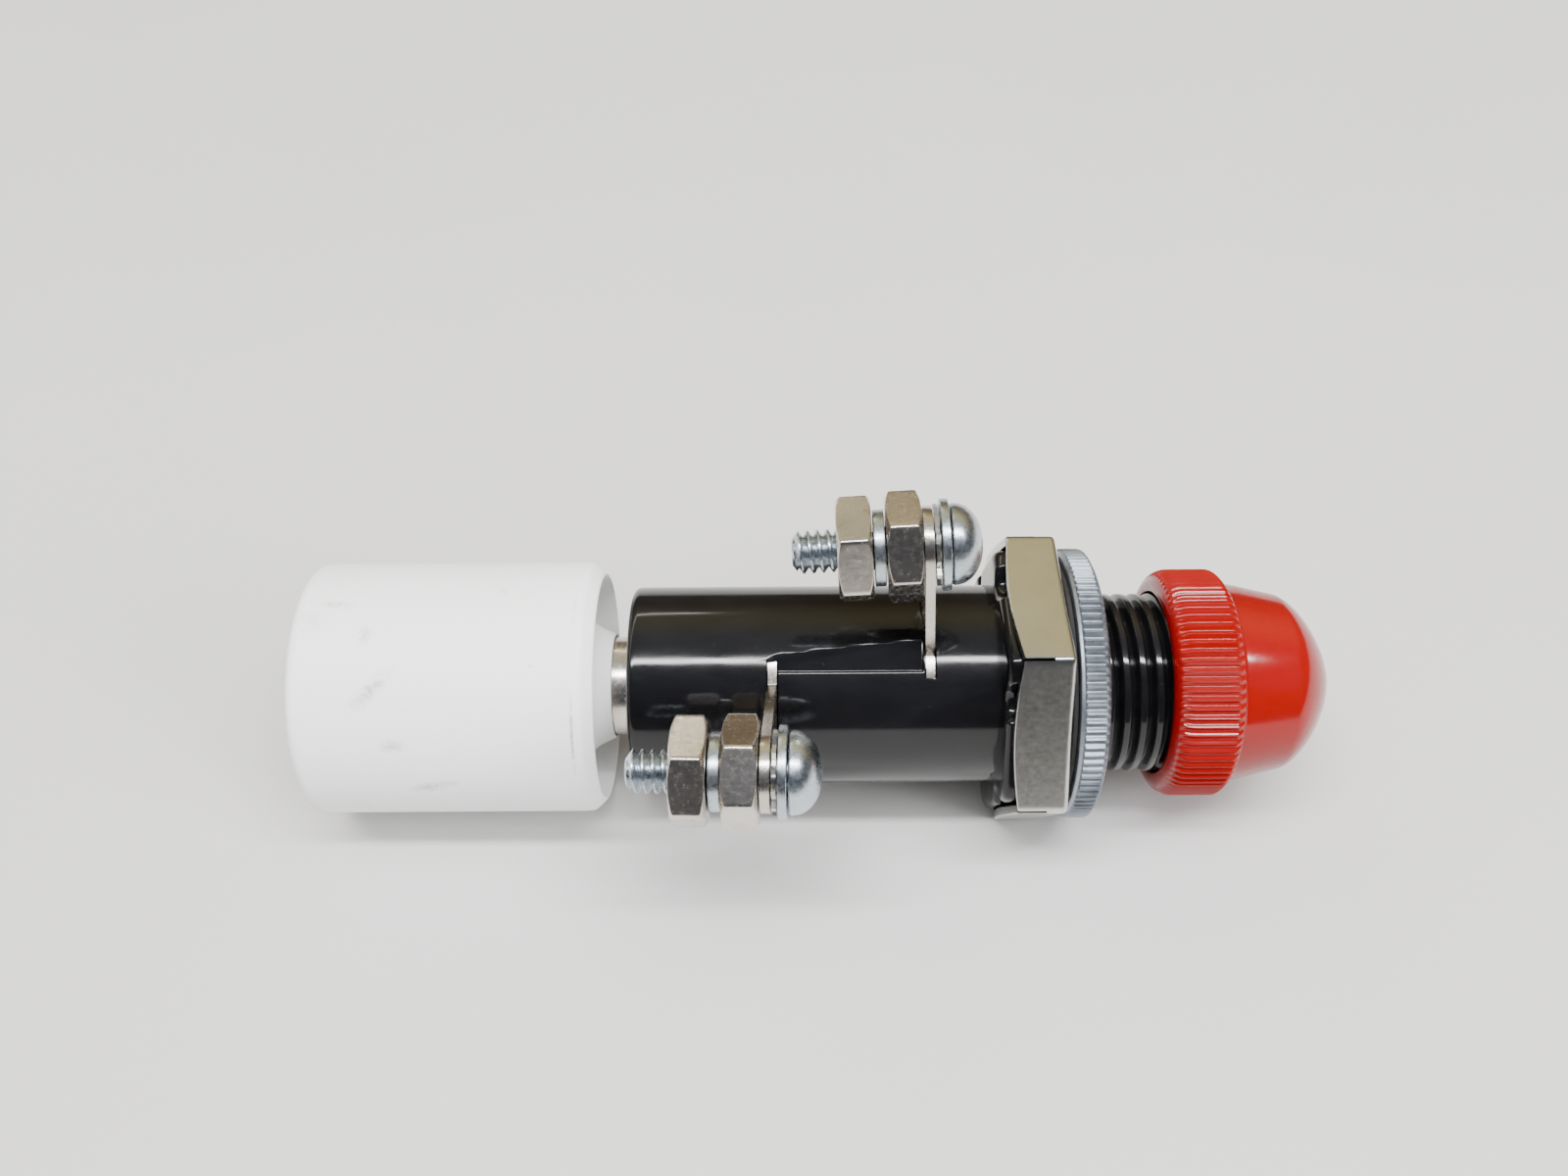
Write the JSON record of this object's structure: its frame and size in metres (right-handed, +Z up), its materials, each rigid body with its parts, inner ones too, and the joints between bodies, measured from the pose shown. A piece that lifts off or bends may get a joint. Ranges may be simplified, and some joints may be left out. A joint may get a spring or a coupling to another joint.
{
  "type": "panel indicating light",
  "caption": "Panel-mount indicating light with red dome lens cap, threaded bush, knurled ring, side screw terminals and a porcelain resistor housing.",
  "frame": {"origin": "on the barrel axis in the plane of the hex shell's front face, where the panel is clamped", "axes": "+X along the axis towards the lens cap; +Z up, towards the front terminal; -Y towards the side from which both terminals show"},
  "size_m": [0.0897, 0.0335, 0.0342],
  "materials": {
    "phenolic_black": "glossy moulded phenolic",
    "porcelain_white": "matte unglazed porcelain",
    "cement_grey": "rough set cement",
    "lens_red": "glossy slightly translucent red plastic",
    "zinc_dull": "dull die-cast zinc",
    "steel_plated": "plated sheet steel",
    "nickel_plated": "bright nickel plate",
    "zinc_bright": "bright zinc plate",
    "brass": "bare brass and copper alloy",
    "rubber_black": "matte black rubber",
    "fibre_tan": "vulcanised fibre",
    "glass_clear": "clear glass",
    "tungsten": "dark drawn wire",
    "resistance_wire": "oxidised resistance wire"
  },
  "bodies": {
    "socket": {"barrel_moulding": "phenolic_black", "hex_shell": "steel_plated", "resistor_housing": "porcelain_white", "hollow_rivet": "nickel_plated", "cement_plug": "cement_grey", "resistor_core": "porcelain_white", "resistor_front_band": "nickel_plated", "resistor_rear_band": "nickel_plated", "resistor_winding": "resistance_wire", "resistor_feed_lead": "brass", "resistor_return_lead": "brass", "insulating_disc": "fibre_tan", "front_contact_spring": "brass", "rear_contact_spring": "brass", "front_terminal_strip": "nickel_plated", "front_tooth_washer": "steel_plated", "front_flat_washer": "zinc_bright", "front_terminal_screw": "zinc_bright", "front_inner_nut": "nickel_plated", "rear_terminal_strip": "nickel_plated", "rear_tooth_washer": "steel_plated", "rear_flat_washer": "zinc_bright", "rear_terminal_screw": "zinc_bright", "rear_inner_nut": "nickel_plated"},
    "ring_seat": {"panel_gasket": "rubber_black"},
    "ring": {"knurled_ring": "zinc_dull"},
    "cap_seat": {"cap_seal": "rubber_black"},
    "cap": {"lens_cap": "lens_red"},
    "front_nut_seat": {"front_split_washer": "zinc_bright"},
    "front_nut": {"front_outer_nut": "nickel_plated"},
    "rear_nut_seat": {"rear_split_washer": "zinc_bright"},
    "rear_nut": {"rear_outer_nut": "nickel_plated"},
    "lamp": {"lamp_bulb": "glass_clear", "lamp_base_block": "phenolic_black", "lamp_upper_contact": "nickel_plated", "lamp_lower_contact": "nickel_plated", "lamp_upper_post": "nickel_plated", "lamp_lower_post": "nickel_plated", "lamp_bead": "glass_clear", "lamp_filament": "tungsten"}
  },
  "joints": [
    {"name": "ring_travel", "type": "slide", "parent": "socket", "child": "ring_seat", "axis": [1, 0, 0], "range_m": [0, 0.00529]},
    {"name": "ring_turn", "type": "hinge", "parent": "ring_seat", "child": "ring", "pos_m": [0.002, 0, 0], "axis": [1, 0, 0], "range_deg": [0, 1350]},
    {"name": "cap_travel", "type": "slide", "parent": "socket", "child": "cap_seat", "axis": [1, 0, 0], "range_m": [0, 0.00494]},
    {"name": "cap_turn", "type": "hinge", "parent": "cap_seat", "child": "cap", "pos_m": [0.012, 0, 0], "axis": [1, 0, 0], "range_deg": [0, 1260]},
    {"name": "front_nut_travel", "type": "slide", "parent": "socket", "child": "front_nut_seat", "axis": [-0.9976, 0, -0.0698], "range_m": [0, 0.00357]},
    {"name": "front_nut_turn", "type": "hinge", "parent": "front_nut_seat", "child": "front_nut", "pos_m": [-0.012, 0, 0.018], "axis": [-0.9976, 0, -0.0698], "range_deg": [0, 1620]},
    {"name": "rear_nut_travel", "type": "slide", "parent": "socket", "child": "rear_nut_seat", "axis": [-0.999, 0.0378, -0.0218], "range_m": [0, 0.00357]},
    {"name": "rear_nut_turn", "type": "hinge", "parent": "rear_nut_seat", "child": "rear_nut", "pos_m": [-0.02504, -0.01559, 0.009], "axis": [-0.999, 0.0378, -0.0218], "range_deg": [0, 1620]},
    {"name": "lamp_slide", "type": "slide", "parent": "socket", "child": "lamp", "axis": [1, 0, 0], "range_m": [0, 0.005]}
  ],
  "couplings": [
    {"joint": "ring_turn", "follows": "ring_travel", "rad_per_m": 4453},
    {"joint": "cap_turn", "follows": "cap_travel", "rad_per_m": 4453},
    {"joint": "front_nut_turn", "follows": "front_nut_travel", "rad_per_m": 7913.3},
    {"joint": "rear_nut_turn", "follows": "rear_nut_travel", "rad_per_m": 7913.3}
  ]
}
